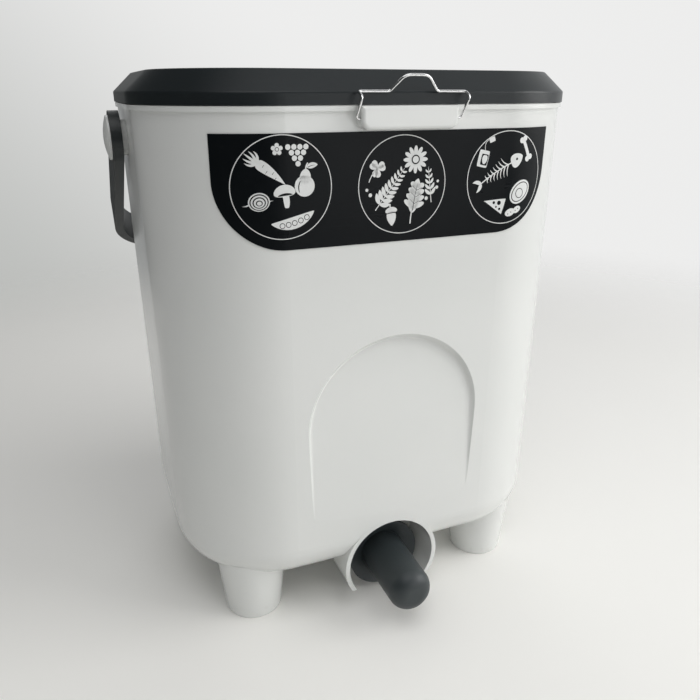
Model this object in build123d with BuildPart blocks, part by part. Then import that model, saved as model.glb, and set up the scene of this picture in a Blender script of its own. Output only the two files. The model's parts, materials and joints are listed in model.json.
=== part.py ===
from build123d import *
from math import acos, asin, atan2, cos, floor, hypot, radians, sin, sqrt, tan
import os

os.makedirs("parts", exist_ok=True)

# A kitchen compost bin: a footed tub with an airtight lid, a sprung wire latch, a carrying bail,
# a drain tap in an arched pocket and a perforated floor. Millimetres, +Z up, floor at Z = 0,
# front towards -Y. The pieces are drawn about the tub's own axis.

# How far a cut runs past the face it opens
overshoot = 1.0

# Tub
overall_height = 400.0
body_width = 313.0
body_depth = 250.0
corner_radius = 80.0
wall_bow = 2.0
draft_angle = 0.45
wall = 3.0
floor_height = 38.0
bottom_radius = 30.0

# Rim: a shelf under the lid and a collar that stands up inside it
shelf_proud = 1.5
shelf_thickness = 3.0
collar_setback = 3.2
collar_wall = 2.8
collar_height = 6.3

# Lid
lid_overhang = 2.0
lid_seam = 0.5
skirt_height = 7.0
chamfer_height = 13.0
chamfer_inset = 14.0
lid_plate = 3.0
panel_border = 24.0
panel_depth = 1.2
channel_gap = 0.4
lip_gap = 0.6
lip_wall = 2.4
lip_reach = 1.6
seal_height = 3.1
seal_gap = 0.1
seal_side_gap = 0.1
lid_inner_slope = 17.0
lid_edge = 1.6

# Feet
foot_side_inset = 52.5
foot_front_inset = 43.0
foot_tip_radius = 21.8
foot_root_radius = 25.8
foot_wall = 3.2
foot_hollow_draft = 2.0
foot_edge = 1.0

# Arch recess above the tap
arch_radius = 65.0
arch_centre_height = 160.0
arch_depth = 5.0
arch_fade_gap = 6.5
arch_edge_slope = 35.0
arch_floor_round = 3.0
arch_cut_reach = 20.0

# Label
label_width = 233.5
label_shift = -3.6
label_drop = 14.9
label_height = 69.0
label_corner = 42.0
label_thickness = 0.5

# Latch
wire_radius = 0.85
latch_block_half = 33.0
latch_block_height = 14.0
latch_block_proud = 9.2
latch_block_corner = 6.0
latch_block_edge = 2.5
latch_pivot_drop = 7.5
latch_pivot_proud = 5.8
latch_leg_gap = 2.6
latch_hole_depth = 6.0
latch_rest_gap = 0.3
latch_hole_gap = 0.3
latch_end_gap = 1.0
latch_sway = 3.4
latch_splay = 0.7
latch_bar_rise = 0.4
latch_shoulder_drop = 2.9
latch_shoulder_proud = 4.2
hump_half_width = 16.2
hump_top_half_width = 7.8
hump_height = 9.1
hump_lean = 3.9
latch_bends = [2.0, 2.4, 1.6, 3.0, 8.5]

# Hinge
hinge_axis_proud = 10.0
hinge_axis_rise = 1.0
knuckle_radius = 5.0
pin_radius = 2.0
pin_gap = 0.2
knuckle_length = 32.0
knuckle_gap = 0.6
ear_thickness = 8.0
gusset_drop = 21.0
pin_end = 0.5

# Carrying bail
bail_reach = 40.0
bail_rest_gap = 0.3
bail_pivot_drop = 22.5
bail_thickness = 7.0
bail_lid_gap = 1.5
bail_corner_radius = 50.5
bail_eye_radius = 18.0
bail_bar_half_width = 12.0
bail_bore_radius = 6.3
bail_edge = 1.6

# Bail studs, their screws and washers
stud_shank_radius = 6.0
stud_head_radius = 15.0
stud_head_height = 4.2
stud_head_edge = 1.4
stud_gap = 0.3
boss_radius = 12.0
inner_pad_radius = 9.0
inner_pad_proud = 1.0
screw_radius = 1.6
screw_gap = 0.25
screw_fit = 0.1
screw_end_gap = 0.5
screw_head_radius = 4.2
screw_head_height = 3.0
screw_head_edge = 1.0
screw_length = 14.0
stud_washer_radius = 7.5
stud_washer_thickness = 1.5

# Tap pocket and sump well
pocket_radius = 36.0
pocket_wall = 3.5
pocket_height = 38.0
hood_low = 17.5
pocket_depth = 40.0
pocket_cut_reach = 30.0
well_length = 43.0
well_low = 12.0

# Tap
tap_height = 34.0
tail_radius = 9.0
tail_length = 19.0
tail_gap = 0.3
flange_radius = 17.0
flange_thickness = 3.0
washer_thickness = 2.0
washer_radius = 15.5
nut_across = 28.0
nut_thickness = 8.0
nut_chamfer = 1.2
barrel_radius = 13.0
barrel_length = 12.0
chamber_radius = 8.0
tail_bore_radius = 6.0
spout_radius = 6.2
spout_bore_radius = 4.5
spout_low = 8.0
spout_setback = 5.6
spout_edge = 1.2
plug_gap = 0.3
plug_bore_radius = 5.0
plug_face = 3.0
port_radius = 3.5
ring_radius = 0.85
ring_setback = 1.7
ring_gap = 0.1
key_radius = 3.0
key_length = 1.8
key_gap = 0.1
key_end_gap = 0.2

# Tap knob
knob_gap = 0.5
dish_floor_gap = 5.0
dish_depth = 4.7
dish_thickness = 2.4
grip_radius = 17.5
grip_length = 61.0
grip_round = 11.0
grip_taper = 0.8

# Perforated floor
grate_pocket_gap = 4.5
grate_thickness = 3.0
grate_gap = 1.3
grate_rib = 5.0
grate_border = 29.0
notch_corner = 4.0
grate_leg_radius = 5.0
leg_gap = 0.3
slot_length = 26.0
slot_width = 7.0
loop_half_width = 16.75
loop_height = 26.0
loop_bar = 6.0
loop_corner = 9.0

# Heights and places that follow from the sizes above
skirt_low = overall_height - skirt_height - chamfer_height
chamfer_low = skirt_low + skirt_height
shelf_top = skirt_low - lid_seam
shelf_low = shelf_top - shelf_thickness
collar_top = shelf_top + collar_height
half_width = body_width / 2
half_depth = body_depth / 2
draft_slope = tan(radians(draft_angle))
pocket_outer_radius = pocket_radius + pocket_wall
pocket_top = pocket_height + pocket_outer_radius
foot_x = half_width - foot_side_inset
foot_y = half_depth - foot_front_inset
arch_fade_height = pocket_top + arch_fade_gap
arch_run = arch_centre_height + arch_radius - arch_fade_height
label_top = shelf_top - label_drop
latch_pivot_height = shelf_top - latch_pivot_drop
bail_pivot_height = shelf_top - bail_pivot_drop
bail_radius = half_depth + bail_reach
dish_radius = tap_height - dish_floor_gap
grate_height = pocket_top + grate_pocket_gap
lid_half_width = half_width + lid_overhang
lid_half_depth = half_depth + lid_overhang


def wall_inset(height):
    """How far the tub's outer face lies inside its rim outline at a height."""
    return (shelf_top - height) * draft_slope


def plan(height, inset=0.0):
    """Sketch the tub's plan at a height, moved in by inset: what four wide discs share, so that
    each side bows, with its corners rounded."""
    bow_x = ((half_depth - wall_bow) ** 2 + wall_bow**2) / (2 * wall_bow)
    bow_y = ((half_width - wall_bow) ** 2 + wall_bow**2) / (2 * wall_bow)
    with BuildSketch(Plane.XY.offset(height)) as outline:
        with Locations((0, half_depth - bow_y)):
            Circle(bow_y - inset)
        for x, y, radius in (
            (0, bow_y - half_depth, bow_y),
            (half_width - bow_x, 0, bow_x),
            (bow_x - half_width, 0, bow_x),
        ):
            with Locations((x, y)):
                Circle(radius - inset, mode=Mode.INTERSECT)
        fillet(outline.vertices(), corner_radius - inset)
    return outline.sketch


def drafted(low, low_inset, top, top_inset):
    """A solid between the tub's plan at two heights, each with its own inset."""
    with BuildPart() as block:
        loft([plan(low, low_inset), plan(top, top_inset)], ruled=True)
    return block.part


def tub_block(top, low, inset, round_radius):
    """The drafted tub shape between two heights, moved in by inset, with its lower edge rounded."""
    with BuildPart() as block:
        add(drafted(low, inset + wall_inset(low), top, inset + wall_inset(top)))
        if round_radius:
            fillet(block.faces().sort_by(Axis.Z)[0].edges(), round_radius)
    return block.part


def arch_block(radius, front, back, low):
    """A tunnel along Y with a round top, cut off level at the bottom."""
    with BuildPart() as tunnel:
        with BuildSketch(Plane.XZ.offset(-back)):
            with Locations((0, pocket_height)):
                Circle(radius)
            with Locations((0, low)):
                Rectangle(3 * radius, 3 * radius, align=(Align.CENTER, Align.MAX), mode=Mode.SUBTRACT)
        extrude(amount=back - front)
    return tunnel.part


def arch_recess(grow):
    """The shallow tombstone recess: its floor leans back towards the top and fades out below."""
    lean = asin(arch_depth / arch_run)
    face_y = -(half_depth - wall_inset(arch_fade_height))
    floor_plane = Plane(
        origin=(0, face_y + grow, arch_fade_height),
        x_dir=(1, 0, 0),
        z_dir=(0, -cos(lean), sin(lean)),
    )
    rise = arch_centre_height - arch_fade_height
    with BuildPart() as recess:
        with BuildSketch(floor_plane):
            with Locations((0, rise)):
                Circle(arch_radius + grow)
            Rectangle(2 * (arch_radius + grow), rise, align=(Align.CENTER, Align.MIN))
        extrude(amount=arch_cut_reach, taper=-arch_edge_slope)
        fillet(recess.faces().sort_by(Axis.Y)[-1].edges(), arch_floor_round + grow)
    return recess.part


# The tub
front_face = -(half_depth - wall_inset(pocket_top))
pocket_back = front_face + pocket_depth
pocket_inner_back = pocket_back + wall
well_back = pocket_back + well_length
bail_inner_x = lid_half_width + bail_lid_gap
boss_face_x = bail_inner_x - stud_gap
pad_face_x = half_width - wall_inset(bail_pivot_height) - wall - inner_pad_proud
latch_pivot_y = -(half_depth + latch_pivot_proud)
hinge_axis_y = half_depth + hinge_axis_proud
hinge_axis_z = skirt_low + hinge_axis_rise
ear_step = knuckle_length + 2 * knuckle_gap + ear_thickness
hinge_half_length = ear_step + ear_thickness / 2

outside = tub_block(shelf_top, floor_height, 0.0, bottom_radius)
inside = tub_block(shelf_low, floor_height + wall, wall, bottom_radius - wall)

with BuildPart() as latch_block:
    with BuildSketch(Plane.XZ.offset(half_depth - wall)) as block_outline:
        with Locations((0, shelf_top)):
            Rectangle(2 * latch_block_half, latch_block_height, align=(Align.CENTER, Align.MAX))
        fillet(block_outline.vertices().group_by(Axis.Y)[0], latch_block_corner)
    extrude(amount=wall + latch_block_proud)
    fillet(latch_block.faces().sort_by(Axis.Y)[0].edges(), latch_block_edge)

with BuildPart() as cavity:
    add(inside)
    add(arch_recess(wall), mode=Mode.SUBTRACT)
    add(arch_block(pocket_outer_radius, front_face - pocket_cut_reach, pocket_inner_back, 0), mode=Mode.SUBTRACT)
    add(arch_block(pocket_radius, pocket_inner_back, well_back - wall, well_low + wall))
    extrude(plan(shelf_low - wall, collar_setback + collar_wall), amount=collar_top - shelf_low + 2 * wall)
    for side in (-1, 1):
        with BuildSketch(Plane.YZ.offset(side * pad_face_x)):
            with Locations((0, bail_pivot_height)):
                Circle(inner_pad_radius)
        extrude(amount=side * 3 * wall, mode=Mode.SUBTRACT)

with BuildPart() as bin_body:
    add(outside)
    extrude(plan(shelf_low, -shelf_proud), amount=shelf_thickness)
    extrude(plan(shelf_top, collar_setback), amount=collar_height)
    # Tapered feet
    foot_flare = (foot_root_radius - foot_tip_radius) / floor_height
    for x in (-foot_x, foot_x):
        for y in (-foot_y, foot_y):
            with Locations((x, y, 0)):
                Cone(
                    foot_tip_radius,
                    foot_root_radius + foot_flare * bottom_radius / 2,
                    floor_height + bottom_radius / 2,
                    align=(Align.CENTER, Align.CENTER, Align.MIN),
                )
    fillet(bin_body.edges().filter_by(GeomType.CIRCLE).group_by(Axis.Z)[0], foot_edge)
    # Hood round the tap and the sump well behind it
    add(arch_block(pocket_outer_radius, front_face, pocket_back, hood_low))
    add(arch_block(pocket_outer_radius, pocket_back, well_back, well_low))
    add(latch_block.part)
    # Bail bosses
    for side in (-1, 1):
        with BuildSketch(Plane.YZ.offset(side * (half_width - wall))):
            with Locations((0, bail_pivot_height)):
                Circle(boss_radius)
        extrude(amount=side * (boss_face_x - half_width + wall))
    # Hinge ears
    for x in (-ear_step, 0, ear_step):
        with BuildSketch(Plane.YZ.offset(x - ear_thickness / 2)):
            with Locations((hinge_axis_y, hinge_axis_z)):
                Circle(knuckle_radius)
            with Locations((half_depth - wall, hinge_axis_z - gusset_drop)):
                Rectangle(wall / 2, gusset_drop - 2 * knuckle_radius, align=(Align.MIN, Align.MIN))
            make_hull()
        extrude(amount=ear_thickness)
    # Hollows
    add(cavity.part, mode=Mode.SUBTRACT)
    add(arch_recess(0.0), mode=Mode.SUBTRACT)
    add(arch_block(pocket_radius, front_face - pocket_cut_reach, pocket_back, -overshoot), mode=Mode.SUBTRACT)
    hollow_height = floor_height - foot_wall
    for x in (-foot_x, foot_x):
        for y in (-foot_y, foot_y):
            with Locations((x, y, 0)):
                Cone(
                    foot_tip_radius - foot_wall,
                    foot_tip_radius - foot_wall - hollow_height * tan(radians(foot_hollow_draft)),
                    hollow_height,
                    align=(Align.CENTER, Align.CENTER, Align.MIN),
                    mode=Mode.SUBTRACT,
                )
    # Bores: tap, latch, bail screws and hinge pin
    with BuildSketch(Plane.XZ.offset(-pocket_inner_back - overshoot)):
        with Locations((0, tap_height)):
            Circle(tail_radius + tail_gap)
    extrude(amount=wall + 2 * overshoot, mode=Mode.SUBTRACT)
    for side in (-1, 1):
        with BuildSketch(Plane.YZ.offset(side * (latch_block_half - latch_hole_depth))):
            with Locations((latch_pivot_y, latch_pivot_height)):
                Circle(wire_radius + latch_hole_gap)
        extrude(amount=side * (latch_hole_depth + overshoot), mode=Mode.SUBTRACT)
        with BuildSketch(Plane.YZ.offset(side * (pad_face_x - overshoot))):
            with Locations((0, bail_pivot_height)):
                Circle(screw_radius + screw_gap)
        extrude(amount=side * (boss_face_x - pad_face_x + 2 * overshoot), mode=Mode.SUBTRACT)
    with BuildSketch(Plane.YZ.offset(-hinge_half_length - overshoot)):
        with Locations((hinge_axis_y, hinge_axis_z)):
            Circle(pin_radius + pin_gap / 2)
    extrude(amount=2 * (hinge_half_length + overshoot), mode=Mode.SUBTRACT)
bin_body.part.label = "bin_body"

# The label that wraps on to both front corners
with BuildPart() as front_label:
    add(tub_block(label_top, label_top - label_height, -label_thickness, 0))
    add(tub_block(label_top + overshoot, label_top - label_height - overshoot, 0, 0), mode=Mode.SUBTRACT)
    with BuildSketch(Plane.XZ.offset(half_depth - corner_radius)) as label_shape:
        with Locations((label_shift, label_top)):
            Rectangle(label_width, label_height, align=(Align.CENTER, Align.MAX))
        fillet(label_shape.vertices().group_by(Axis.Y)[0], label_corner)
    extrude(amount=corner_radius + 2 * label_thickness, mode=Mode.INTERSECT)
front_label.part.label = "front_label"

# The lid: a chamfered tray with a channel that takes the collar and the seal
lip_low = collar_top - lip_reach
lip_inset = collar_setback + collar_wall + lip_gap
channel_inset = collar_setback - channel_gap
channel_top = collar_top + seal_gap + seal_height
plate_low = overall_height - panel_depth - lid_plate
lip_inner_inset = lip_inset + lip_wall
lip_lean = (plate_low - lip_low) * tan(radians(lid_inner_slope))

with BuildPart() as lid:
    extrude(plan(skirt_low, -lid_overhang), amount=skirt_height)
    add(drafted(chamfer_low, -lid_overhang, overall_height, chamfer_inset - lid_overhang))
    fillet(lid.edges().group_by(Axis.Z)[-1], lid_edge)
    fillet(lid.edges().filter_by_position(Axis.Z, chamfer_low, chamfer_low), lid_edge)
    extrude(plan(skirt_low, channel_inset), amount=channel_top - skirt_low, mode=Mode.SUBTRACT)
    extrude(plan(lip_low, lip_inset), amount=channel_top - lip_low)
    add(
        drafted(lip_low, lip_inner_inset, plate_low, lip_inner_inset + lip_lean),
        mode=Mode.SUBTRACT,
    )
    extrude(
        plan(overall_height, chamfer_inset - lid_overhang + panel_border),
        amount=-panel_depth,
        mode=Mode.SUBTRACT,
    )
    for side in (-1, 1):
        with BuildSketch(Plane.YZ.offset(side * ear_step / 2 - knuckle_length / 2)):
            with Locations((hinge_axis_y, hinge_axis_z)):
                Circle(knuckle_radius)
            with Locations((lid_half_depth - overshoot, hinge_axis_z)):
                Rectangle(overshoot / 2, knuckle_radius, align=(Align.MIN, Align.MIN))
            make_hull()
        extrude(amount=knuckle_length)
    with BuildSketch(Plane.YZ.offset(-hinge_half_length)):
        with Locations((hinge_axis_y, hinge_axis_z)):
            Circle(pin_radius + pin_gap)
    extrude(amount=2 * hinge_half_length, mode=Mode.SUBTRACT)
lid.part.label = "lid"

with BuildPart() as lid_seal:
    extrude(plan(collar_top + seal_gap, channel_inset + seal_side_gap), amount=seal_height)
    extrude(plan(collar_top + seal_gap, lip_inset - seal_side_gap), amount=seal_height, mode=Mode.SUBTRACT)
lid_seal.part.label = "lid_seal"

with BuildPart() as lid_hinge_pin:
    with BuildSketch(Plane.YZ.offset(-hinge_half_length - pin_end)):
        with Locations((hinge_axis_y, hinge_axis_z)):
            Circle(pin_radius)
    extrude(amount=2 * (hinge_half_length + pin_end))
lid_hinge_pin.part.label = "lid_hinge_pin"

# The latch: one wire that hooks over the chamfer of the lid, with a finger hump in the middle. Its
# bar stands a little to the right, as its play in the block lets it.
chamfer_slope = chamfer_inset / chamfer_height
bar_height = chamfer_low + latch_bar_rise
bar_stand_off = (wire_radius + latch_rest_gap) * sqrt(1 + chamfer_slope**2)
bar_y = -lid_half_depth + latch_bar_rise * chamfer_slope - bar_stand_off
leg_x = latch_block_half + latch_leg_gap
shoulder_height = bar_height - latch_shoulder_drop
shoulder_share = (shoulder_height - latch_pivot_height) / (bar_height - latch_pivot_height)
hump_y = bar_y - hump_lean
latch_half_route = [
    (latch_block_half - latch_hole_depth + latch_end_gap, 0, latch_pivot_y, latch_pivot_height),
    (leg_x, 0, latch_pivot_y, latch_pivot_height),
    (
        leg_x + latch_splay * shoulder_share,
        latch_sway * shoulder_share,
        latch_pivot_y - latch_shoulder_proud,
        shoulder_height,
    ),
    (leg_x + latch_splay, latch_sway, bar_y, bar_height),
    (hump_half_width, latch_sway, bar_y, bar_height),
    (hump_top_half_width, latch_sway, hump_y, bar_height + hump_height),
]
left_route = [(sway - x, y, z) for x, sway, y, z in latch_half_route]
right_route = [(sway + x, y, z) for x, sway, y, z in latch_half_route]
latch_route = left_route + right_route[::-1]

with BuildPart() as latch_wire:
    with BuildLine() as latch_line:
        FilletPolyline(*latch_route, radius=latch_bends + latch_bends[::-1])
    with BuildSketch(Plane(origin=latch_line.line @ 0, z_dir=latch_line.line % 0)):
        Circle(wire_radius)
    sweep()
latch_wire.part.label = "latch_wire"

# The carrying bail, leaning on the back wall: the inner lower edge of its bar meets the wall
bail_inner_reach = bail_radius - bail_thickness / 2
bail_outer_reach = bail_radius + bail_thickness / 2
edge_along = bail_outer_reach - bail_edge
edge_across = bail_bar_half_width - bail_edge
arm_swell = asin((bail_eye_radius - bail_edge) / hypot(edge_along, edge_across))
arm_taper = arm_swell - atan2(edge_across, edge_along)
corner_across = (bail_eye_radius - bail_inner_reach * sin(arm_taper)) / cos(arm_taper)
wall_reach = (half_depth - wall_inset(bail_pivot_height)) * cos(radians(draft_angle))
wall_angle = acos((wall_reach + bail_rest_gap) / hypot(bail_inner_reach, corner_across))
lean = radians(draft_angle) + wall_angle - atan2(corner_across, bail_inner_reach)
bail_plane = Plane(origin=(0, 0, bail_pivot_height), x_dir=(1, 0, 0), z_dir=(0, sin(lean), cos(lean)))
bail_side = Plane(origin=(0, 0, bail_pivot_height), x_dir=(0, cos(lean), -sin(lean)), z_dir=(1, 0, 0))
bail_outer_x = bail_inner_x + bail_thickness

with BuildPart() as carry_handle:
    with BuildSketch(bail_plane) as bail_outline:
        with Locations((0, -bail_eye_radius)):
            Rectangle(2 * bail_outer_x, bail_outer_reach + bail_eye_radius, align=(Align.CENTER, Align.MIN))
        fillet(bail_outline.vertices().sort_by(Axis.Y)[-2:], bail_corner_radius + bail_thickness / 2)
    extrude(amount=bail_eye_radius, both=True)
    with BuildSketch(bail_plane) as bail_inside:
        with Locations((0, -bail_eye_radius)):
            Rectangle(2 * bail_inner_x, bail_inner_reach + bail_eye_radius, align=(Align.CENTER, Align.MIN))
        fillet(bail_inside.vertices().sort_by(Axis.Y)[-2:], bail_corner_radius - bail_thickness / 2)
    extrude(amount=bail_eye_radius + overshoot, both=True, mode=Mode.SUBTRACT)
    with BuildSketch(bail_side):
        Circle(bail_eye_radius)
        with Locations((bail_radius, 0)):
            RectangleRounded(bail_thickness, 2 * bail_bar_half_width, bail_edge)
        make_hull()
        Circle(bail_bore_radius, mode=Mode.SUBTRACT)
    extrude(amount=bail_outer_x + overshoot, both=True, mode=Mode.INTERSECT)
carry_handle.part.label = "carry_handle"

# The studs that carry the bail, each held by a screw and a washer from inside the tub
bail_axis = Axis((0, 0, bail_pivot_height), (1, 0, 0))
head_x = bail_outer_x + stud_gap
head_top = head_x + stud_head_height
crown_rise = stud_head_height - stud_head_edge
crown_radius = (stud_head_radius**2 + crown_rise**2) / (2 * crown_rise)
crown_drop = crown_radius - sqrt(crown_radius**2 - (stud_head_radius / 2) ** 2)
screw_seat = pad_face_x - stud_washer_thickness
screw_hole = screw_seat + screw_length + screw_end_gap - boss_face_x
studs = []
for side, name in ((-1, "left"), (1, "right")):
    radial = Plane(origin=(0, 0, bail_pivot_height), x_dir=(side, 0, 0), z_dir=(0, 0, 1))
    with BuildPart() as stud:
        with BuildSketch(radial):
            with BuildLine():
                Polyline(
                    (head_top, 0),
                    (boss_face_x, 0),
                    (boss_face_x, stud_shank_radius),
                    (head_x, stud_shank_radius),
                    (head_x, stud_head_radius),
                    (head_x + stud_head_edge, stud_head_radius),
                )
                ThreePointArc(
                    (head_x + stud_head_edge, stud_head_radius),
                    (head_top - crown_drop, stud_head_radius / 2),
                    (head_top, 0),
                )
            make_face()
        revolve(axis=bail_axis)
        with BuildSketch(Plane.YZ.offset(side * boss_face_x)):
            with Locations((0, bail_pivot_height)):
                Circle(screw_radius + screw_fit)
        extrude(amount=side * screw_hole, mode=Mode.SUBTRACT)
    with BuildPart() as washer:
        with BuildSketch(Plane.YZ.offset(side * pad_face_x)):
            with Locations((0, bail_pivot_height)):
                Circle(stud_washer_radius)
                Circle(screw_radius + screw_gap, mode=Mode.SUBTRACT)
        extrude(amount=-side * stud_washer_thickness)
    with BuildPart() as screw:
        with BuildSketch(Plane.YZ.offset(side * screw_seat)):
            with Locations((0, bail_pivot_height)):
                Circle(screw_head_radius)
        extrude(amount=-side * screw_head_height)
        fillet(screw.faces().sort_by(Axis.X)[-1 if side < 0 else 0].edges(), screw_head_edge)
        with BuildSketch(Plane.YZ.offset(side * screw_seat)):
            with Locations((0, bail_pivot_height)):
                Circle(screw_radius)
        extrude(amount=side * screw_length)
    stud.part.label = "bail_stud_" + name
    washer.part.label = "stud_washer_" + name
    screw.part.label = "stud_screw_" + name
    studs += [stud.part, washer.part, screw.part]

# The tap: tail, flange and barrel along Y, with a spout that points down behind the knob
flange_back = pocket_back - washer_thickness
flange_front = flange_back - flange_thickness
barrel_front = flange_front - barrel_length
tail_end = flange_back + tail_length
spout_y = flange_front - spout_setback


def along_y(radius, start, end, inner=0.0):
    """A round bar or tube on the tap's axis between two places along Y."""
    with BuildPart() as bar:
        with BuildSketch(Plane.XZ.offset(-start)):
            with Locations((0, tap_height)):
                Circle(radius)
                if inner:
                    Circle(inner, mode=Mode.SUBTRACT)
        extrude(amount=start - end)
    return bar.part


with BuildPart() as tap_body:
    add(along_y(tail_radius, tail_end, flange_back))
    add(along_y(flange_radius, flange_back, flange_front))
    add(along_y(barrel_radius, flange_front, barrel_front))
    with BuildSketch(Plane.XY.offset(spout_low)):
        with Locations((0, spout_y)):
            Circle(spout_radius)
    extrude(amount=tap_height - spout_low)
    fillet(tap_body.edges().filter_by(GeomType.CIRCLE).group_by(Axis.Z)[0], spout_edge)
    add(along_y(chamber_radius, flange_front + overshoot, barrel_front - overshoot), mode=Mode.SUBTRACT)
    add(along_y(tail_bore_radius, tail_end + overshoot, flange_front), mode=Mode.SUBTRACT)
    with BuildSketch(Plane.XY.offset(spout_low - overshoot)):
        with Locations((0, spout_y)):
            Circle(spout_bore_radius)
    extrude(amount=tap_height - spout_low, mode=Mode.SUBTRACT)
tap_body.part.label = "tap_body"

tap_washer_outer = along_y(washer_radius, pocket_back, flange_back, tail_radius + tail_gap)
washer_inner_end = pocket_inner_back + washer_thickness
tap_washer_inner = along_y(washer_radius, washer_inner_end, pocket_inner_back, tail_radius + tail_gap)
tap_washer_outer.label = "tap_washer_outer"
tap_washer_inner.label = "tap_washer_inner"

with BuildPart() as tap_nut:
    with BuildSketch(Plane.XZ.offset(-washer_inner_end)):
        with Locations((0, tap_height)):
            RegularPolygon(nut_across / 2, 6, major_radius=False)
            Circle(tail_radius + tail_gap / 2, mode=Mode.SUBTRACT)
    extrude(amount=-nut_thickness)
    chamfer(tap_nut.faces().sort_by(Axis.Y)[-1].outer_wire().edges(), nut_chamfer)
tap_nut.part.label = "tap_nut"

# The plug that the knob turns: a cup with a port in its side, sealed by a ring
plug_front = barrel_front + plug_gap
plug_back = flange_front - plug_gap
plug_radius = chamber_radius - plug_gap
ring_y = plug_front + ring_setback
with BuildPart() as tap_plug:
    add(along_y(plug_radius, plug_back, plug_front))
    add(along_y(plug_bore_radius, plug_back + overshoot, plug_front + plug_face), mode=Mode.SUBTRACT)
    with BuildSketch(Plane.YZ):
        with Locations((spout_y, tap_height)):
            Circle(port_radius)
    extrude(amount=2 * plug_radius, mode=Mode.SUBTRACT)
    ring_centre = chamber_radius - ring_radius - ring_gap
    ring_low = ring_centre - ring_radius
    with BuildSketch(Plane.XZ.offset(-ring_y - ring_radius)):
        with Locations((0, tap_height)):
            Circle(plug_radius + overshoot)
            Circle(ring_low, mode=Mode.SUBTRACT)
    extrude(amount=2 * ring_radius, mode=Mode.SUBTRACT)
    add(along_y(key_radius + key_gap, plug_front + key_length, plug_front - overshoot), mode=Mode.SUBTRACT)
tap_plug.part.label = "tap_plug"

with BuildPart() as tap_seal_ring:
    with BuildSketch(Plane.YZ):
        with Locations((ring_y, tap_height + ring_centre)):
            Circle(ring_radius)
    revolve(axis=Axis((0, 0, tap_height), (0, 1, 0)))
tap_seal_ring.part.label = "tap_seal_ring"

# The knob: a dished disc that shields the spout, with a round grip
knob_back = barrel_front - knob_gap
grip_end = knob_back - dish_thickness - grip_length
rim_front = knob_back - dish_thickness - dish_depth
key_end = plug_front + key_length - key_end_gap
with BuildPart() as tap_knob:
    with BuildSketch(Plane.YZ):
        with BuildLine():
            Polyline(
                (key_end, tap_height),
                (key_end, tap_height + key_radius),
                (knob_back, tap_height + key_radius),
                (knob_back, tap_height + barrel_radius),
                (rim_front + dish_thickness, tap_height + dish_radius),
                (rim_front, tap_height + dish_radius),
                (knob_back - dish_thickness, tap_height + grip_radius),
                (grip_end, tap_height + grip_radius - grip_taper),
                (grip_end, tap_height),
                close=True,
            )
        make_face()
    revolve(axis=Axis((0, 0, tap_height), (0, 1, 0)))
    fillet(tap_knob.edges().filter_by(GeomType.CIRCLE).sort_by(Axis.Y)[0], grip_round)
tap_knob.part.label = "tap_knob"

# The perforated floor on its four legs, with a loop to lift it by and a notch that passes the
# inner side of the arch recess
grate_inset = wall + wall_inset(grate_height) + grate_gap
slot_pitch_x = slot_length + 1.5 * grate_rib
slot_pitch_y = slot_width + 2 * grate_rib
columns_a_side = floor((half_width - grate_inset - grate_border - slot_length / 2) / slot_pitch_x)
rows_a_side = floor((half_depth - grate_inset - grate_border - slot_width / 2) / slot_pitch_y)
leg_x_place = slot_pitch_x * (columns_a_side - 0.5)
leg_y_place = slot_pitch_y * (rows_a_side - 1.5)
leg_low = floor_height + wall + leg_gap
recess_back = wall_inset(arch_fade_height) + wall + arch_depth * (arch_run + wall) / arch_run
notch_back = grate_gap + recess_back - half_depth
notch_half_width = arch_radius + wall + arch_depth * tan(radians(arch_edge_slope)) + grate_gap
loop_foot = grate_height + grate_thickness

with BuildPart() as drain_grate:
    extrude(plan(grate_height, grate_inset), amount=grate_thickness)
    with BuildSketch(Plane.XY.offset(grate_height)):
        with GridLocations(slot_pitch_x, slot_pitch_y, 2 * columns_a_side + 1, 2 * rows_a_side + 1):
            SlotOverall(slot_length, slot_width)
    extrude(amount=grate_thickness, mode=Mode.SUBTRACT)
    with BuildSketch(Plane.XY.offset(grate_height)) as notch:
        with Locations((0, notch_back)):
            Rectangle(2 * notch_half_width, 2 * wall + arch_depth, align=(Align.CENTER, Align.MAX))
        fillet(notch.vertices().group_by(Axis.Y)[-1], notch_corner)
    extrude(amount=grate_thickness, mode=Mode.SUBTRACT)
    with BuildSketch(Plane.XY.offset(leg_low)):
        with GridLocations(2 * leg_x_place, 2 * leg_y_place, 2, 2):
            Circle(grate_leg_radius)
    extrude(amount=grate_height - leg_low)
    with BuildSketch(Plane.XZ) as loop_outline:
        with Locations((0, loop_foot)):
            Rectangle(2 * loop_half_width + loop_bar, loop_height, align=(Align.CENTER, Align.MIN))
        fillet(loop_outline.vertices().group_by(Axis.Y)[-1], loop_corner)
        with Locations((0, loop_foot)):
            Rectangle(
                2 * loop_half_width - loop_bar,
                loop_height - loop_bar,
                align=(Align.CENTER, Align.MIN),
                mode=Mode.SUBTRACT,
            )
    extrude(amount=loop_bar / 2, both=True)
drain_grate.part.label = "drain_grate"

# The part's frame: its origin is under the middle of its bounding box
front_reach = -grip_end
rear_reach = edge_along * cos(lean) + edge_across * sin(lean) + bail_edge
frame_shift = Location((0, (front_reach - rear_reach) / 2, 0))

tub_pieces = [bin_body.part, front_label.part, carry_handle.part, drain_grate.part]
lid_pieces = [lid.part, lid_seal.part, lid_hinge_pin.part, latch_wire.part]
tap_pieces = [tap_body.part, tap_washer_outer, tap_washer_inner, tap_nut.part, tap_plug.part]
knob_pieces = [tap_seal_ring.part, tap_knob.part]
for piece in tub_pieces + lid_pieces + studs + tap_pieces + knob_pieces:
    placed = piece.moved(frame_shift)
    placed.label = piece.label
    export_step(placed, "parts/" + piece.label + ".step")
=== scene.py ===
import json
import math

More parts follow.
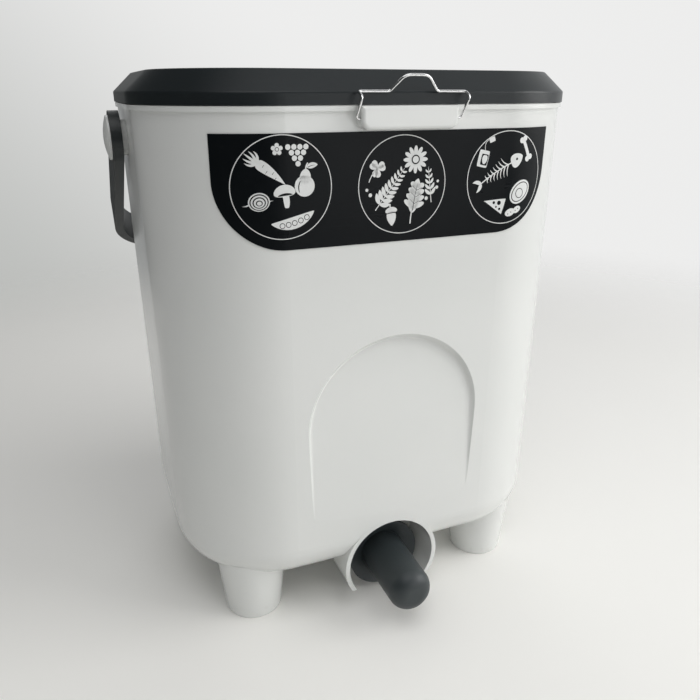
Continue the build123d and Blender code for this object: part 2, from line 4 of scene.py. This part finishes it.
import bpy
import numpy as np
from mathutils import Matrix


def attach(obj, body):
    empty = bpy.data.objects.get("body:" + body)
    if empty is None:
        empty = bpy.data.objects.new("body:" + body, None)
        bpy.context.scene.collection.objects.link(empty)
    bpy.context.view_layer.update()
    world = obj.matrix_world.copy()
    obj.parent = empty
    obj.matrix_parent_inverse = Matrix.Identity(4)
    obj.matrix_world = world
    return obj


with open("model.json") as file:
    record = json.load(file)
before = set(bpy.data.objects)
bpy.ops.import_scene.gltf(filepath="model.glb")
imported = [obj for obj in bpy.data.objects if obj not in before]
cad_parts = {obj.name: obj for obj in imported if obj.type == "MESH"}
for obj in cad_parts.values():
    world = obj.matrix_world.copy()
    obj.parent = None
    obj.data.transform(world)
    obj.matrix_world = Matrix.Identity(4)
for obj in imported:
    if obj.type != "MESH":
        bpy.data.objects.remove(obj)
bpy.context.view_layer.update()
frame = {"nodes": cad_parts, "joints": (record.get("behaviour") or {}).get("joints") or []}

# The camera stands a little left of the bin's front and looks down on it, as in the photograph.
# Its place is measured from the tub's own upright axis, which runs through the bail's pivots.
tub_middle = next(joint for joint in frame["joints"] if joint["name"] == "handle_swing")["pos_m"][1]
camera_left, camera_ahead, camera_height = 0.19689, 0.5175, 0.38828
looks_down, looks_right = 21.2, 22.15
camera = bpy.data.objects.new("camera", bpy.data.cameras.new("camera"))
camera.data.sensor_width = 36.0
camera.data.lens = 34.53
camera.data.clip_start = 0.02
camera.location = (-camera_left, tub_middle - camera_ahead, camera_height)
camera.rotation_euler = (math.radians(90 - looks_down), 0.0, math.radians(-looks_right))
bpy.context.scene.collection.objects.link(camera)
bpy.context.scene.camera = camera


# The tub is one moulding in glossy white polypropylene, with its feet, its rim, the hinge ears and
# the hood round the tap. Its polish is clear on the walls, with faint rubs and a duller foot.
class Tone:
    """One value or colour that varies over a surface: a socket in a material's node tree. Sums,
    differences and products written in Python on it add their Math nodes there."""

    def __init__(self, tree, socket):
        self.tree = tree
        self.socket = socket

    def node(self, kind, settings, sockets, out=0):
        """Adds a node of that kind: its settings first, then the values or links of its sockets, by
        name or by number."""
        made = self.tree.nodes.new(kind)
        for key, value in settings.items():
            setattr(made, key, value)
        for key, value in sockets.items():
            if isinstance(value, Tone):
                self.tree.links.new(value.socket, made.inputs[key])
            else:
                made.inputs[key].default_value = value
        return Tone(self.tree, made.outputs[out])

    def sum_of(self, operation, *terms):
        return self.node("ShaderNodeMath", {"operation": operation}, dict(enumerate(terms)))

    def __add__(self, other):
        return self.sum_of("ADD", self, other)

    def __mul__(self, other):
        return self.sum_of("MULTIPLY", self, other)

    def __sub__(self, other):
        return self.sum_of("SUBTRACT", self, other)

    def __rsub__(self, other):
        return self.sum_of("SUBTRACT", other, self)

    __radd__ = __add__
    __rmul__ = __mul__

    def noise(self, scale, detail=3.0, stretch=(1, 1, 1)):
        """Cloudy noise over the piece, with that many cells to the metre, drawn out along an axis
        where its stretch is under 1."""
        turned = self.node("ShaderNodeMapping", {}, {"Vector": self, "Scale": stretch})
        return self.node("ShaderNodeTexNoise", {}, {"Vector": turned, "Scale": scale, "Detail": detail})

    def step(self, low, high):
        """0 below low, 1 above high and a smooth rise between them, on any value."""
        return self.node(
            "ShaderNodeMapRange",
            {"interpolation_type": "SMOOTHSTEP"},
            {"Value": self, "From Min": low, "From Max": high},
        )

    def along(self, axis):
        """How far a place or a direction goes along X, Y or Z."""
        return self.node("ShaderNodeSeparateXYZ", {}, {0: self}, out=axis)

    def tint(self, first, second):
        """A colour that goes from first to second as this value goes from 0 to 1. Either may be a
        colour that varies itself."""
        ends = [end if isinstance(end, Tone) else (*end, 1.0) for end in (first, second)]
        return self.node("ShaderNodeMix", {"data_type": "RGBA"}, {0: self, 6: ends[0], 7: ends[1]}, out=2)

    def relief(self, depth):
        """A surface raised where this value is high, by depth metres at 1."""
        return self.node("ShaderNodeBump", {}, {"Distance": depth, "Height": self})

    def feed(self, shader, name):
        self.tree.links.new(self.socket, shader.inputs[name])


def new_finish(name, **constants):
    """A material with one shader, given its constant sockets; gives back the material, the shader
    and the place on the piece."""
    made = bpy.data.materials.new(name)
    made.use_nodes = True
    shader = made.node_tree.nodes["Principled BSDF"]
    for key, value in constants.items():
        shader.inputs[key.replace("_", " ")].default_value = value
    coordinates = made.node_tree.nodes.new("ShaderNodeTexCoord")
    return made, shader, Tone(made.node_tree, coordinates.outputs["Object"])


def coat(finish, *nodes):
    """Gives CAD nodes that finish in each of their material slots."""
    for node in nodes:
        for socket in frame["nodes"][node].material_slots:
            socket.material = finish


grime_height = 0.015


def white_moulding(name, polish):
    """White polypropylene: slow warm and cool drifts of colour, long faint rubs, a fine ripple in
    the polish, and grey marks that gather up to grime_height."""
    made, shader, place = new_finish(name, IOR=1.49)
    drift = place.noise(9.0, 2.0)
    rubs = place.noise(260.0, 4.0, (1, 1, 0.07)).step(0.6, 0.78)
    specks = place.noise(1500.0, 1.0).step(0.7, 0.78)
    low = 1 - place.along("Z").step(0.0, grime_height)
    grime = (low * place.noise(180.0, 5.0).step(0.45, 0.75)).step(0.0, 1.0)
    clean = drift.tint((0.7, 0.715, 0.695), (0.75, 0.755, 0.738))
    (specks * 0.12 + grime * 0.35).tint(clean, (0.42, 0.41, 0.38)).feed(shader, "Base Color")
    (polish + drift * 0.05 + rubs * 0.1 + grime * 0.3).feed(shader, "Roughness")
    ripple = place.noise(70.0, 2.0) * 0.8 + place.noise(1100.0, 2.0) * 0.2
    ripple.relief(0.00012).feed(shader, "Normal")
    return made


tub_white = white_moulding("tub_white", 0.13)
coat(tub_white, "bin_body")


# The perforated floor is the same polypropylene with a plain, slightly duller surface. It drops on
# to its four legs inside the tub, and the loop in its middle lifts it out.
grate_white = white_moulding("grate_white", 0.3)
coat(grate_white, "drain_grate")


# The label is a near-black film moulded into the front wall. Three thin white rings stand on it,
# each round a group of line drawings of what the bin takes, in white ink.
film_black, film, place = new_finish("film_black", IOR=1.5, Specular_IOR_Level=0.12)
haze = place.noise(40.0, 3.0)
hairs = place.noise(420.0, 3.0, (0.05, 1, 1)).step(0.62, 0.75)
(haze * 0.5 + hairs * 0.3).tint((0.0028, 0.0038, 0.0048), (0.0065, 0.0085, 0.0098)).feed(film, "Base Color")
(0.24 + haze * 0.1 + hairs * 0.12).feed(film, "Roughness")
place.noise(600.0, 2.0).relief(0.00006).feed(film, "Normal")
coat(film_black, "front_label")

half_width = 0.1565
half_depth = 0.125
bow = 0.002
corner = 0.080
rim_height = 0.3795
draft = math.tan(math.radians(0.45))
film_proud = 0.0005
ink_proud = 0.00016
layer_step = 0.00006

front_arc = ((half_width - bow) ** 2 + bow**2) / (2 * bow)
side_arc = ((half_depth - bow) ** 2 + bow**2) / (2 * bow)
# The corner's arc touches both shallow arcs. Each pass brings its middle nearer to where it does.
corner_x, corner_y = half_width - corner, half_depth - corner
for _ in range(4):
    corner_x = half_width - side_arc + math.sqrt((side_arc - corner) ** 2 - corner_y**2)
    corner_y = half_depth - front_arc + math.sqrt((front_arc - corner) ** 2 - corner_x**2)


def film_face(across, up, proud):
    """Points on the label, for places measured across the front and up from the floor. The face is
    a shallow arc of radius front_arc that runs into an arc of radius corner at each end. Both
    arcs shrink below the rim with the draft of the wall and grow by the film and by proud."""
    grow = film_proud + proud - (rim_height - up) * draft
    shallow = np.sqrt((front_arc + grow) ** 2 - across**2) - front_arc + half_depth
    past = np.abs(across) - corner_x
    turned = corner_y + np.sqrt(np.maximum((corner + grow) ** 2 - past**2, 0.0))
    forward = np.where(past * front_arc < corner_x * corner, shallow, turned)
    return np.stack([across, tub_middle - forward, up], axis=-1)


def patch_mesh(name, grids, body, finish):
    """One object from grids of points, each rows by columns by 3: every cell is a face."""
    points, faces, count = [], [], 0
    for grid in grids:
        rows, columns = grid.shape[:2]
        corners = count + np.arange(rows * columns).reshape(rows, columns)
        cells = [corners[:-1, :-1], corners[:-1, 1:], corners[1:, 1:], corners[1:, :-1]]
        faces.append(np.stack(cells, axis=-1).reshape(-1, 4))
        points.append(grid.reshape(-1, 3))
        count += rows * columns
    mesh = bpy.data.meshes.new(name)
    mesh.from_pydata(np.concatenate(points), [], np.concatenate(faces))
    mesh.shade_smooth()
    mesh.materials.append(finish)
    made = bpy.data.objects.new(name, mesh)
    bpy.context.scene.collection.objects.link(made)
    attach(made, body)
    return made


def onward(x, z, angle, length):
    """The point that lies a length away from (x, z) at an angle in degrees."""
    turn = math.radians(angle)
    return x + length * math.cos(turn), z + length * math.sin(turn)


def stroke(x, z, angle, length, half, bulge=0.0, start=0.5, end=0.5, layer=0):
    """One pen stroke in millimetres from the ring's middle: it leaves (x, z) at an angle, bows out by
    bulge, and is half wide each way at its widest. start and end set how blunt its ends are: 0 is
    square, a half is round and 1 is sharp. Even layers are ink, and odd layers are film."""
    turn = math.radians(angle)
    return [x, z, length * math.cos(turn), length * math.sin(turn), bulge, half, start, end, layer]


def dot(x, z, radius, layer=0):
    return stroke(x - radius, z, 0, 2 * radius, radius, layer=layer)


def leaf(x, z, angle, length, half, bulge=0.0):
    """A leaf with its middle vein left dark."""
    x_vein, z_vein = onward(x, z, angle, 0.1 * length)
    vein = stroke(x_vein, z_vein, angle, 0.75 * length, 0.2, 0.75 * bulge, 0, 0.6, 1)
    return [stroke(x, z, angle, length, half, bulge, 0.7, 0.8), vein]


def sprig(x, z, angle, length, pairs, size, spread=55):
    """A stem with pairs of leaves that get smaller towards its tip."""
    rows = [stroke(x, z, angle, length, 0.3, 0, 0, 0.3)]
    for pair in range(pairs):
        share = (pair + 1.5) / (pairs + 1.5)
        x_leaf, z_leaf = onward(x, z, angle, share * length)
        grown = size * (1.15 - 0.75 * share)
        for side in (-1, 1):
            turned = angle + side * spread
            rows.append(stroke(x_leaf, z_leaf, turned, grown, 0.2 * grown, side * 0.4, 0.7, 0.8))
    return rows


def petals(x, z, count, length, half, first=0):
    """A ring of petals that all start at one point, with a dotted eye."""
    rows = [stroke(x, z, first + 360 * number / count, length, half, 0, 0.9, 0.5) for number in range(count)]
    return rows + [dot(x, z, 0.34 * length, 1), dot(x, z, 0.25 * length, 2)]


def carrot(x, z, angle):
    """A root with five fronds and four dark creases."""
    rows = [stroke(x, z, angle, 21, 3.1, 0.5, 0.22, 0.95)]
    for frond in (-2, -1, 0, 1, 2):
        rows.append(stroke(x, z, angle + 180 + 19 * frond, 9 - abs(frond), 0.8, 0.7 * frond, 0.2, 0.7))
    for reach, side in ((4, 1), (7.5, -1), (11, 1), (14, -1)):
        x_mark, z_mark = onward(x, z, angle, reach)
        rows.append(stroke(x_mark, z_mark, angle + side * 90, 1.9, 0.17, 0, 0, 0.5, 1))
    return rows


def fish_bones(x, z, angle):
    """A backbone with seven pairs of ribs, a head with its eye, and a tail."""
    rows = [stroke(x, z, angle, 30, 0.4, 1.0, 0, 0)]
    for rib in range(7):
        x_rib, z_rib = onward(x, z, angle, 6.5 + 2.9 * rib)
        size = 3.4 + 0.75 * rib
        for side in (-1, 1):
            rows.append(stroke(x_rib, z_rib + 0.5, angle + side * 118, size, 0.42, side * 0.8, 0.1, 0.6))
    x_head, z_head = onward(x, z, angle, 26.5)
    rows.append(stroke(x_head, z_head, angle, 10.5, 4.6, 0, 0.35, 0.7))
    rows.append(dot(x_head + 4.4, z_head + 2.8, 0.85, 1))
    for side in (-1, 1):
        rows.append(stroke(x, z, angle + 180 + side * 34, 6.5, 1.3, side * 0.8, 0.4, 0.9))
    return rows


# Kitchen scraps: a carrot and a blossom, a pear with its leaf, a sliced beet, peas in their pod, a
# mushroom and a bunch of grapes
kitchen = carrot(-15, 15, -38) + petals(-3, 22.5, 5, 3.6, 1.3, 18)
kitchen += [stroke(13.5, -5.5, 90, 12.6, 6.3), stroke(13.5, 1.5, 84, 9.5, 3.5, 0, 0.5, 0.6)]
kitchen += [stroke(14.4, 10.4, 70, 4.2, 0.4, 0.5, 0, 0), stroke(10.2, -3, 84, 7, 0.32, 0.9, 0.5, 0.5, 1)]
kitchen += leaf(15, 11.6, 12, 7, 1.7, 0.5)
for layer, radius in enumerate((6.4, 5.6, 4.9, 3.9, 3.2, 2.0, 1.4)):
    kitchen += [stroke(-14.5 - radius, -8.5, 8, 2 * radius, 0.86 * radius, layer=layer)]
kitchen += [stroke(-20.8, -9.4, 190, 3.6, 0.5, 0.3, 0, 1), stroke(-8.4, -7.4, 8, 2.4, 0.3, 0.2, 0, 1)]
kitchen += [stroke(-8, -21, 14, 28, 3.7, -3.4, 0.8, 0.8)]
for pea in range(5):
    x_pea, z_pea = -1.2 + 3.9 * pea, -22.4 + 1.0 * pea + (0.0, -0.5, -0.6, -0.3, 0.5)[pea]
    kitchen += [dot(x_pea, z_pea, 1.75, 1), dot(x_pea, z_pea, 1.35, 2)]
kitchen += [stroke(-5.5, -4.2, 6, 13, 3.6, 2.1, 0.5, 0.5), stroke(1.3, -3.6, 275, 8.2, 2.0, 0.3, 0.05, 0.2)]
kitchen += [stroke(-3.4, -4.6, 6, 9.2, 0.75, 0.5, 0.6, 0.6, 1)]
for row, (count, shift) in enumerate(((4, 0.0), (3, 0.3), (2, 0.2), (1, 0.5))):
    for grape in range(count):
        kitchen += [dot(3.6 + 1.85 * row + 3.7 * grape + shift, 23.6 - 3.2 * row, 1.62)]

# Garden cuttings: a fern and a daisy, an oak leaf, an acorn, a clover, and a twig among berries
garden = sprig(-19, -15, 52, 33, 9, 7.2)
garden += petals(8.5, 15.5, 12, 8.6, 1.3)
garden += [stroke(6, -25, 82, 12, 0.4, 0.3, 0, 0), stroke(7.2, -18, 80, 22, 4.1, 0.6, 0.6, 0.7)]
for lobe in range(4):
    for side in (-1, 1):
        x_lobe, z_lobe = 7.8 + 0.8 * lobe, -14.5 + 4.2 * lobe
        garden += [stroke(x_lobe, z_lobe, 80 + side * 62, 8.2 - 0.9 * lobe, 1.75, 0, 0.5, 0.5)]
garden += [stroke(7.6, -16.5, 80, 18, 0.24, 0.4, 0, 0.5, 1)]
for lobe in range(3):
    for side in (-1, 1):
        garden += [stroke(8.4 + 0.8 * lobe, -12.2 + 4.2 * lobe, 80 + side * 55, 4.8, 0.16, 0, 0, 0.5, 1)]
garden += [stroke(-7, -25.5, 96, 9.5, 3.3, 0, 0.75, 0.35), stroke(-11.8, -16.6, 6, 8.2, 2.0, 0.8, 0.5, 0.5)]
garden += [stroke(-11, -17.7, 6, 7, 0.25, 0.2, 0, 0, 1), stroke(-8, -15, 100, 3.6, 0.4, 0.4, 0, 0)]
for turn_of in (20, 140, 260):
    for side in (-1, 1):
        garden += [stroke(-18, 11, turn_of + side * 17, 5.6, 1.9, 0, 0.8, 0.45)]
garden += [stroke(-18, 11, 236, 10, 0.3, -0.8, 0, 0)]
garden += sprig(21, -12, 98, 23, 5, 5.6, 42)
garden += [dot(24.6, -2.5, 1.1), dot(25.2, 1.4, 0.9), dot(17.2, -9.2, 1.2)]
garden += [dot(-25, -2, 1.0), dot(-22.6, -5.2, 1.2)]

# Larder leavings: fish bones, a slice of meat, a wedge of cheese, a bone, a tea bag and a peanut
larder = fish_bones(-20, -3, 28)
for layer, (length, half) in enumerate(((19, 7.2), (16.4, 5.8), (15.2, 5.2))):
    larder += [stroke(13 - length / 2 * 0.8, -10 - length / 2 * 0.6, 37, length, half, layer=layer)]
larder += [dot(12.4, -10.8, 3.4, 3), dot(12.4, -10.8, 2.9, 4)]
larder += [stroke(-16.5, -14.5, -16, 17, 5.4, 0, 1.0, 0.02)]
larder += [stroke(-15.5, -15.3, -34, 17.8, 0.22, 0, 0, 0, 1)]
larder += [dot(-4.2, -16.4, 1.5, 1), dot(-8.4, -16, 1.0, 1), dot(-3.6, -20.6, 0.9, 1), dot(-6.4, -19, 0.7, 1)]
larder += [stroke(12.5, 24, -62, 13, 1.25, 0.3, 0, 0)]
for x_knob, z_knob in ((11, 24.2), (13.6, 25.4), (17.2, 12), (19.8, 13.4)):
    larder += [dot(x_knob, z_knob, 1.9)]
larder += [stroke(-20.5, 8, 78, 11, 4.0, 0, 0.04, 0.04), stroke(-18.2, 19, 60, 8, 0.2, 2.0, 0, 0)]
larder += [stroke(-19.3, 9.2, 78, 7.2, 2.7, 0, 0.04, 0.04, 1), stroke(-19, 9.9, 78, 5.8, 2.0, 0, 0.5, 0.3, 2)]
larder += [stroke(-15.4, 24.6, 20, 4.4, 1.6, 0, 0.04, 0.04)]
larder += [stroke(1.5, -24.6, 14, 8.5, 2.6, 0, 0.5, 0.5), stroke(8.2, -23.2, 20, 7, 2.3, 0, 0.5, 0.5)]
larder += [dot(4, -24.6, 0.4, 1), dot(6.4, -23.4, 0.4, 1), dot(10.4, -22.6, 0.4, 1), dot(12.6, -21.4, 0.4, 1)]

drawings = ((-0.0800, 0.3333, kitchen), (-0.0008, 0.3315, garden), (0.0774, 0.3323, larder))
ring_radius = 0.0306
ring_half_line = 0.00026

white_ink, ink, place = new_finish("white_ink", IOR=1.5)
cover = place.noise(900.0, 3.0)
cover.tint((0.66, 0.67, 0.66), (0.76, 0.77, 0.76)).feed(ink, "Base Color")
(0.36 + cover * 0.14).feed(ink, "Roughness")

along = ((1 - np.cos(np.linspace(0, math.pi, 17))) / 2)[:, None]
aside = np.linspace(-1, 1, 7)[None, :]
ink_grids, gap_grids = [], []
for ring_x, ring_height, rows in drawings:
    round_it = np.linspace(0, 2 * math.pi, 129)[:, None]
    radius = ring_radius + ring_half_line * np.linspace(-1, 1, 3)[None, :]
    line = film_face(ring_x + radius * np.cos(round_it), ring_height + radius * np.sin(round_it), ink_proud)
    ink_grids.append(line)
    for x, z, run_x, run_z, bulge, half, start, end, layer in rows:
        # A stroke's spine is its chord plus a parabola of the bulge, and its half width is the share
        # along it to the power start, times what is left of it to the power end, scaled to a peak of 1
        length = math.hypot(run_x, run_z)
        lift = 4 * bulge * along * (1 - along)
        slope = 4 * bulge * (1 - 2 * along)
        lean_x = run_x - slope * run_z / length
        lean_z = run_z + slope * run_x / length
        steep = np.hypot(lean_x, lean_z)
        both = max(start + end, 1e-9)
        peak = (start / both) ** start * (end / both) ** end
        wide = half * along**start * (1 - along) ** end / peak * aside
        across = x + run_x * along - lift * run_z / length - wide * lean_z / steep
        up = z + run_z * along + lift * run_x / length + wide * lean_x / steep
        proud = ink_proud + layer_step * layer
        grid = film_face(ring_x + across / 1000, ring_height + up / 1000, proud)
        (gap_grids if layer % 2 else ink_grids).append(grid)
label_print = patch_mesh("label_print", ink_grids, "bin", white_ink)
label_gaps = patch_mesh("label_gaps", gap_grids, "bin", film_black)


# Each end of the bail turns on a white stud with a low domed head. A screw and a washer inside the
# tub draw the stud on to its boss.
stud_white = white_moulding("stud_white", 0.24)
coat(stud_white, "bail_stud_left", "bail_stud_right")

drawn_steel, steel, place = new_finish("drawn_steel", Metallic=1.0)
lines = place.noise(500.0, 3.0, (0.06, 1, 1))
lines.tint((0.5, 0.5, 0.5), (0.62, 0.62, 0.61)).feed(steel, "Base Color")
(0.26 + lines * 0.16).feed(steel, "Roughness")
coat(drawn_steel, "stud_screw_left", "stud_screw_right", "stud_washer_left", "stud_washer_right")


# The bail is a flat bow in black polypropylene with a fine matt grain. It hangs behind the tub and
# swings over the lid to carry the bin.
def black_moulding(name, tone, dull, grain, shine=0.5):
    """Black polypropylene: a fine pebbled grain of that depth, slow drifts of gloss, hairline marks
    and a little pale dust in its hollows."""
    made, shader, place = new_finish(name, IOR=1.5, Specular_IOR_Level=shine)
    drift = place.noise(14.0, 3.0)
    pebble = place.noise(1700.0, 2.0)
    hairs = place.noise(330.0, 4.0, (0.08, 1, 0.6)).step(0.64, 0.76)
    dust = place.noise(2600.0, 1.0).step(0.71, 0.77)
    marks = drift * 0.25 + hairs * 0.25 + dust * 0.5
    marks.tint(tone, tuple(2.6 * part for part in tone)).feed(shader, "Base Color")
    (dull + drift * 0.07 + hairs * 0.1 + dust * 0.1).feed(shader, "Roughness")
    (pebble * 0.8 + hairs * 0.2).relief(grain).feed(shader, "Normal")
    return made


bail_black = black_moulding("bail_black", (0.012, 0.0155, 0.0165), 0.4, 0.00012)
coat(bail_black, "carry_handle")


# The lid is a chamfered tray in the same black polypropylene, with a rubber seal in the channel
# that takes the collar. It turns on a plain steel pin through the ears and knuckles.
lid_black = black_moulding("lid_black", (0.01, 0.013, 0.0145), 0.3, 0.0001, 0.3)
coat(lid_black, "lid")
coat(drawn_steel, "lid_hinge_pin")

rubber_grey, rubber, place = new_finish("rubber_grey", IOR=1.45)
bloom = place.noise(300.0, 4.0)
bloom.tint((0.03, 0.03, 0.031), (0.05, 0.05, 0.05)).feed(rubber, "Base Color")
(0.6 + bloom * 0.2).feed(rubber, "Roughness")
bloom.relief(0.0001).feed(rubber, "Normal")
coat(rubber_grey, "lid_seal")


# The latch is one length of bright spring wire. Its ends turn in the block under the rim, and its
# bar springs over the chamfer of the lid.
bright_wire, wire, place = new_finish("bright_wire", Metallic=1.0)
streaks = place.noise(700.0, 3.0, (0.05, 1, 1))
streaks.tint((0.72, 0.72, 0.73), (0.82, 0.82, 0.82)).feed(wire, "Base Color")
(0.12 + streaks * 0.12).feed(wire, "Roughness")
coat(bright_wire, "latch_wire")


# The drain tap is black polypropylene: a body that a nut and two rubber washers clamp to the tub,
# a ported plug with its ring, and a knob whose dish hides the spout.
# Its black is paler than the lid's and the bail's: painted light, to make up for the shade on the knob's dish
# under the hood.
tap_black_painted_light = black_moulding("tap_black_painted_light", (0.023, 0.0295, 0.032), 0.42, 0.0001)
coat(tap_black_painted_light, "tap_body", "tap_nut", "tap_plug", "tap_knob")
coat(rubber_grey, "tap_washer_outer", "tap_washer_inner", "tap_seal_ring")


# The bin stands on a pale table top, lit softly from a large window on the right. The table fades
# out into the pale wall's colour, which only the camera sees, and a gloss sees a dimmer room.
floor_side = 6.0
fade_from, fade_to = 0.55, 1.4
floor_mesh = bpy.data.meshes.new("table_top")
corners = [(floor_side * x, floor_side * y, 0) for x, y in ((-1, -1), (1, -1), (1, 1), (-1, 1))]
floor_mesh.from_pydata(corners, [], [(0, 1, 2, 3)])
table_top = bpy.data.objects.new("table_top", floor_mesh)
bpy.context.scene.collection.objects.link(table_top)
table_pale, table, place = new_finish("table_pale", Roughness=0.6)
# The table is painted a little lighter to the left, where less of the window's light falls: painted light.
# Its slow mottle is the table's own tone.
painted_light_across = place.along("X").step(-0.7, 0.5)
mottle_and_painted_light = (place.noise(3.0, 3.0) * 0.3 + painted_light_across * 0.7).tint((0.96, 0.95, 0.905), (0.92, 0.915, 0.89))
mottle_and_painted_light.feed(table, "Base Color")
distance = place.node("ShaderNodeVectorMath", {"operation": "LENGTH"}, {0: place}, out=1)
(1 - distance.step(fade_from, fade_to)).feed(table, "Alpha")
floor_mesh.materials.append(table_pale)

world = bpy.data.worlds.new("studio")
bpy.context.scene.world = world
world.use_nodes = True
sky = world.node_tree
plain = sky.nodes["Background"]
plain.inputs["Color"].default_value = (0.97, 0.98, 1.0, 1.0)
plain.inputs["Strength"].default_value = 0.28
looking = Tone(sky, sky.nodes.new("ShaderNodeTexCoord").outputs["Generated"])
rightward, forward, upward = (looking.along(axis) for axis in "XYZ")
# The wall is painted darker to the left and low down: painted shade for the bin's shadow on the wall and for
# the window's light falling off to the left.
wall_painted_shade = (rightward + upward).step(-0.42, 0.4)
wall_seen = sky.nodes.new("ShaderNodeBackground")
wall_painted_shade.tint((0.5, 0.51, 0.495), (0.85, 0.85, 0.845)).feed(wall_seen, "Color")
room_tone = (rightward + forward * 0.45).step(0.1, 0.75)
room_seen = sky.nodes.new("ShaderNodeBackground")
room_tone.tint((0.06, 0.065, 0.065), (0.75, 0.76, 0.76)).feed(room_seen, "Color")
path = sky.nodes.new("ShaderNodeLightPath")
seen = plain
for ray, shown in (("Is Glossy Ray", room_seen), ("Is Camera Ray", wall_seen)):
    blend = sky.nodes.new("ShaderNodeMixShader")
    sky.links.new(path.outputs[ray], blend.inputs[0])
    sky.links.new(seen.outputs[0], blend.inputs[1])
    sky.links.new(shown.outputs[0], blend.inputs[2])
    seen = blend
sky.links.new(seen.outputs[0], sky.nodes["World Output"].inputs["Surface"])


def soft_light(name, place, aim, size, power, colour):
    """A square soft box at a place, turned to face its aim."""
    lamp = bpy.data.lights.new(name, "AREA")
    lamp.size = size
    lamp.energy = power
    lamp.color = colour
    made = bpy.data.objects.new(name, lamp)
    made.location = place
    away = np.array(place) - np.array(aim)
    tilt = math.atan2(math.hypot(away[0], away[1]), away[2])
    made.rotation_euler = (tilt, 0.0, math.atan2(away[0], -away[1]))
    bpy.context.scene.collection.objects.link(made)


soft_light("window", (1.5, -0.8, 0.9), (0.0, 0.0, 0.2), 1.2, 18.0, (1.0, 0.995, 0.98))
soft_light("ceiling", (-0.1, -0.8, 2.0), (0.0, 0.0, 0.1), 1.6, 13.5, (1.0, 1.0, 1.0))
soft_light("low_front", (0.5, -1.3, 0.35), (0.0, 0.0, 0.03), 0.7, 2.6, (1.0, 1.0, 1.0))
soft_light("back", (0.5, 1.7, 1.3), (0.0, 0.0, 0.1), 1.2, 5.0, (1.0, 1.0, 1.0))

bpy.context.scene.view_settings.view_transform = "Standard"
